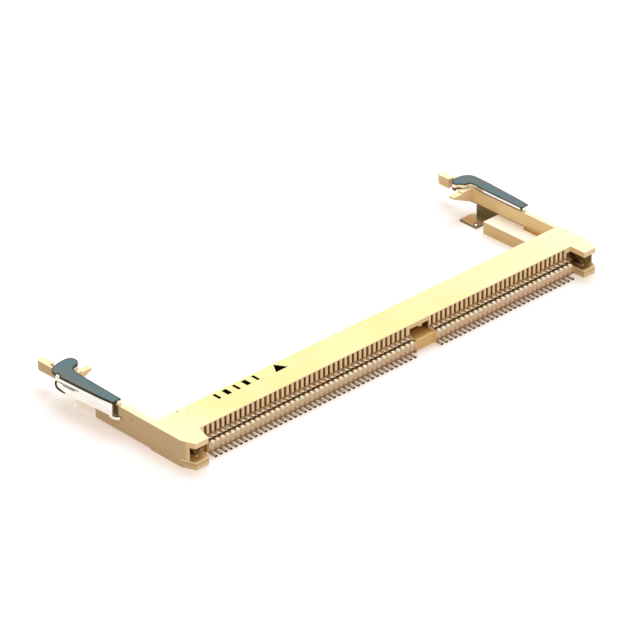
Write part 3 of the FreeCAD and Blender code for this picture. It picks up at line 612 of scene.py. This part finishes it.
def latch(name, sign, plate, sharp, rim_line, lip_x, plate_low):
    bm = bmesh.new()
    loop = smooth_loop(plate, sharp, 5)
    lid = prism(bm, [(sign * a, b, plate_low) for a, b in loop],
                [(sign * a, b, PLATE_TOP) for a, b in loop], TOP, EDGE)
    bmesh.ops.recalc_face_normals(bm, faces=bm.faces)
    ring = bmesh.ops.inset_region(bm, faces=[lid], thickness=0.13, use_even_offset=True)
    for face in ring["faces"]:
        face.material_index = EDGE
    rim = smooth_loop(rim_line, steps=4, closed=False)

    def deep(p):
        """How far round the hook a place is: the flange is deeper there."""
        return min(1.0, max(0.0, (p[1] - 19.2) / 0.8))

    def drop(p):
        return 3.79 - 0.17 * deep(p)

    ribbon(bm, rim, drop, plate_low + 0.03, 0.12, sign, SIDE)
    ribbon(bm, rim, lambda p: drop(p) - 0.1 - 0.14 * deep(p), drop, 0.14, sign, SHADE)
    side_plate(bm, smooth_loop(WALL, WALL_SHARP), sign, -0.26, -0.02, SIDE)
    # turned edge at the front lower corner of the wall, in dark steel as a painted reflection of
    # the shade under it
    edge, inner = smooth_loop(EDGE_OUT, closed=False), smooth_loop(EDGE_IN, closed=False)
    side_plate(bm, edge + list(reversed(inner)), sign, -0.1, 0.01, EDGE)
    # two pressed lines along the upper part of the wall, in dark steel as a painted reflection
    for z0, y0, y1 in ((3.36, 16.6, 20.1), (3.16, 17.2, 19.3)):
        line = [(y0, z0), (y0 + 0.12, z0 - 0.055), (y1 - 0.12, z0 - 0.045), (y1, z0),
                (y1 - 0.12, z0 + 0.045), (y0 + 0.12, z0 + 0.055)]
        side_plate(bm, line, sign, -0.1, 0.004, EDGE)
    # foot that runs into the pocket of the arm
    ribbon(bm, smooth_loop(FOOT, steps=4, closed=False), 1.84, 2.2, 0.22, sign, SIDE)
    # folded end under the fixed end of the plate
    ribbon(bm, smooth_loop(FOLD, steps=4, closed=False), PLATE_TOP - 0.48, PLATE_TOP - 0.05,
           0.2, sign, SIDE)
    # a painted glint: a bright piece of wall steel fills the notch behind the head, where the plate
    # has one
    if len(sharp) > 2:
        prism(bm, [(sign * a, b, 3.7) for a, b in GLINT],
              [(sign * a, b, 4.15) for a, b in GLINT], SIDE, SIDE)
    # lip under the hook
    ribbon(bm, [(lip_x, 21.62), (lip_x, 22.15)], 2.9, 3.96, 0.2, sign, SHADE)
    piece = finish_mesh("sheet_" + name, bm, [plate_steel, wall_steel, edge_steel, shade_steel],
                        name, bevel=0.03)
    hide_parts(name)


latch("latch_left", -1, PLATE, PLATE_SHARP, RIM, 32.1, PLATE_LOW)
latch("latch_right", 1, PLATE_NARROW, PLATE_NARROW_SHARP, RIM_NARROW, 32.9,
      PLATE_LOW + 0.14)


# ---------------------------------------------------------------- housing and tabs
def dress(node, mat, width=0.0):
    """A solid of the frame gets its material and, when a width is given, softened edges."""
    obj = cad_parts[node]
    obj.data.materials.clear()
    obj.data.materials.append(mat)
    if width:
        weld = obj.modifiers.new("weld", "WELD")
        weld.merge_threshold = 1e-7
        flat = obj.modifiers.new("flat", "DECIMATE")
        flat.decimate_type = "DISSOLVE"
        flat.angle_limit = math.radians(0.5)
        mod = obj.modifiers.new("edges", "BEVEL")
        mod.width = width * MM
        mod.segments = 1
        mod.limit_method = "ANGLE"
        mod.angle_limit = math.radians(25)
        mod.use_clamp_overlap = True


dress("housing", resin, 0.05)
dress("hold_down_left", tab_steel)
dress("hold_down_right", tab_steel)


# ---------------------------------------------------------------- comb beads
def comb_beads():
    """The scalloped top of the comb: one low dome behind each contact."""
    bm = bmesh.new()
    turns, rings = 10, 3
    mid_y, foot_z = -1.14, 1.74
    half_x, half_y, height = 0.33, 0.29, 0.28
    for first, pins, _ in (WIDE, NARROW):
        for k in range(pins):
            x = first + PITCH * k
            rows = []
            for r in range(rings):
                rise = math.pi / 2 * r / rings
                rows.append([bm.verts.new((
                    x + half_x * math.cos(rise) * math.cos(math.tau * t / turns),
                    mid_y + half_y * math.cos(rise) * math.sin(math.tau * t / turns),
                    foot_z + height * math.sin(rise))) for t in range(turns)])
            tip = bm.verts.new((x, mid_y, foot_z + height))
            for low, high in zip(rows, rows[1:]):
                for t in range(turns):
                    u = (t + 1) % turns
                    bm.faces.new((low[t], low[u], high[u], high[t]))
            for t in range(turns):
                bm.faces.new((rows[-1][t], rows[-1][(t + 1) % turns], tip))
            bm.faces.new(list(reversed(rows[0])))
    # painted highlight: the domes are painted paler than the resin, as their tops catch the light
    n = Nodes("bead_resin")
    where, _ = n.place()
    cloud = n.noise(where, 900.0, 2.0)
    tone = n.mix(n.ramp(cloud, 0.35, 0.7), rgb(255, 254, 236), rgb(255, 246, 208))
    n.set(Base_Color=tone, Roughness=0.35)
    finish_mesh("comb_beads", bm, [n.mat], "socket", smooth=50.0)


comb_beads()


# ---------------------------------------------------------------- solder beads
def solder_bead(name, sign):
    """A bright bead in a dark ring, in the hole of a hold down foot."""
    bm = bmesh.new()
    turns = 20
    middle = (sign * 31.62, 16.56)
    # radius, height and material slot of each ring
    profile = [(0.34, 0.302, 0), (0.3, 0.33, 0), (0.24, 0.345, 1), (0.16, 0.42, 1),
               (0.08, 0.46, 1)]
    rows = []
    for radius, height, _ in profile:
        rows.append([bm.verts.new((middle[0] + radius * math.cos(math.tau * t / turns),
                                   middle[1] + radius * math.sin(math.tau * t / turns), height))
                     for t in range(turns)])
    for (low, high), (_, _, mark) in zip(zip(rows, rows[1:]), profile):
        for t in range(turns):
            u = (t + 1) % turns
            bm.faces.new((low[t], low[u], high[u], high[t])).material_index = mark
    bm.faces.new(rows[-1]).material_index = 1
    bm.faces.new(list(reversed(rows[0]))).material_index = 0
    finish_mesh(name, bm, [edge_steel, solder], "socket", smooth=60.0)


solder_bead("solder_bead_left", -1)
solder_bead("solder_bead_right", 1)


# ---------------------------------------------------------------- plain ink marks
def ink_marks():
    bm = bmesh.new()
    low, high = 3.6, 3.632
    first, step, foot = -24.75, 1.55, 3.25
    bars = ((0.42, 1.25), (0.7, 1.2), (0.42, 1.25), (0.7, 1.2), (0.42, 1.25))
    triangle = [(-15.9, 3.1), (-14.0, 3.1), (-14.95, 4.65)]
    shapes = []
    for k, (wide, tall) in enumerate(bars):
        x = first + step * k
        left, right = x - wide / 2, x + wide / 2
        shapes.append([(left, foot), (right, foot), (right, foot + tall), (left, foot + tall)])
    for loop in shapes + [triangle]:
        prism(bm, [(a, b, low) for a, b in loop], [(a, b, high) for a, b in loop], 0, 0)
    finish_mesh("ink_marks", bm, [ink], "socket", bevel=0.01, segments=1)


ink_marks()


# ---------------------------------------------------------------- floor and light
FLOOR_HALF, FLOOR_DROP = 3.0, 0.00002
LAMPS = (
    # name, where it shines from, energy, angle in degrees, colour
    ("key", (0.42, 0.36, 0.9), 1.6, 38, (0.86, 0.97, 1.0)),
    ("fill", (0.25, -1.0, 0.06), 0.6, 50, (0.9, 0.98, 0.95)),
)


def make_floor():
    """One tone for the rays that show the floor, another for those that light the part."""
    n = Nodes("pale_floor")
    path = n.add("ShaderNodeLightPath")
    seen = n.math("MAXIMUM", path.outputs["Is Camera Ray"], path.outputs["Is Glossy Ray"])
    seen = n.math("MAXIMUM", seen, path.outputs["Is Transmission Ray"])
    tone = n.mix(seen, (0.5, 0.45, 0.38, 1.0), (0.5, 0.65, 0.78, 1.0))
    n.set(Base_Color=tone, Roughness=0.9)
    n.put((0.56, 0.43, 0.34, 1.0), n.shader, "Emission Color")
    n.put(seen, n.shader, "Emission Strength")
    n.shader.inputs["Specular IOR Level"].default_value = 0.0
    bm = bmesh.new()
    for x, y in ((-1, -1), (1, -1), (1, 1), (-1, 1)):
        bm.verts.new((x * FLOOR_HALF, y * FLOOR_HALF, -FLOOR_DROP))
    bm.verts.ensure_lookup_table()
    bm.faces.new(list(bm.verts))
    data = bpy.data.meshes.new("floor")
    bm.to_mesh(data)
    bm.free()
    data.materials.append(n.mat)
    obj = bpy.data.objects.new("floor", data)
    scene.collection.objects.link(obj)


def make_light():
    world = bpy.data.worlds.new("studio")
    scene.world = world
    world.use_nodes = True
    tree = world.node_tree
    tree.nodes.clear()
    out = tree.nodes.new("ShaderNodeOutputWorld")
    back = tree.nodes.new("ShaderNodeBackground")
    path = tree.nodes.new("ShaderNodeLightPath")
    most = tree.nodes.new("ShaderNodeMath")
    most.operation = "MAXIMUM"
    tree.links.new(path.outputs["Is Camera Ray"], most.inputs[0])
    tree.links.new(path.outputs["Is Glossy Ray"], most.inputs[1])
    both = tree.nodes.new("ShaderNodeMath")
    both.operation = "MAXIMUM"
    tree.links.new(most.outputs[0], both.inputs[0])
    tree.links.new(path.outputs["Is Transmission Ray"], both.inputs[1])
    mix = tree.nodes.new("ShaderNodeMix")
    mix.data_type = "RGBA"
    tree.links.new(both.outputs[0], mix.inputs[0])
    mix.inputs[6].default_value = (0.74, 0.58, 0.5, 1.0)
    mix.inputs[7].default_value = (1.0, 1.0, 1.0, 1.0)
    tree.links.new(mix.outputs[2], back.inputs["Color"])
    back.inputs["Strength"].default_value = 1.0
    tree.links.new(back.outputs[0], out.inputs["Surface"])
    # the key lamp from above, and a level one that fills the rear faces
    for name, source, energy, angle, tint in LAMPS:
        data = bpy.data.lights.new(name, "SUN")
        data.energy = energy
        data.angle = math.radians(angle)
        data.color = tint
        obj = bpy.data.objects.new(name, data)
        obj.rotation_euler = Vector(source).to_track_quat("Z", "Y").to_euler()
        scene.collection.objects.link(obj)


make_floor()
make_light()
scene.view_settings.view_transform = "Standard"
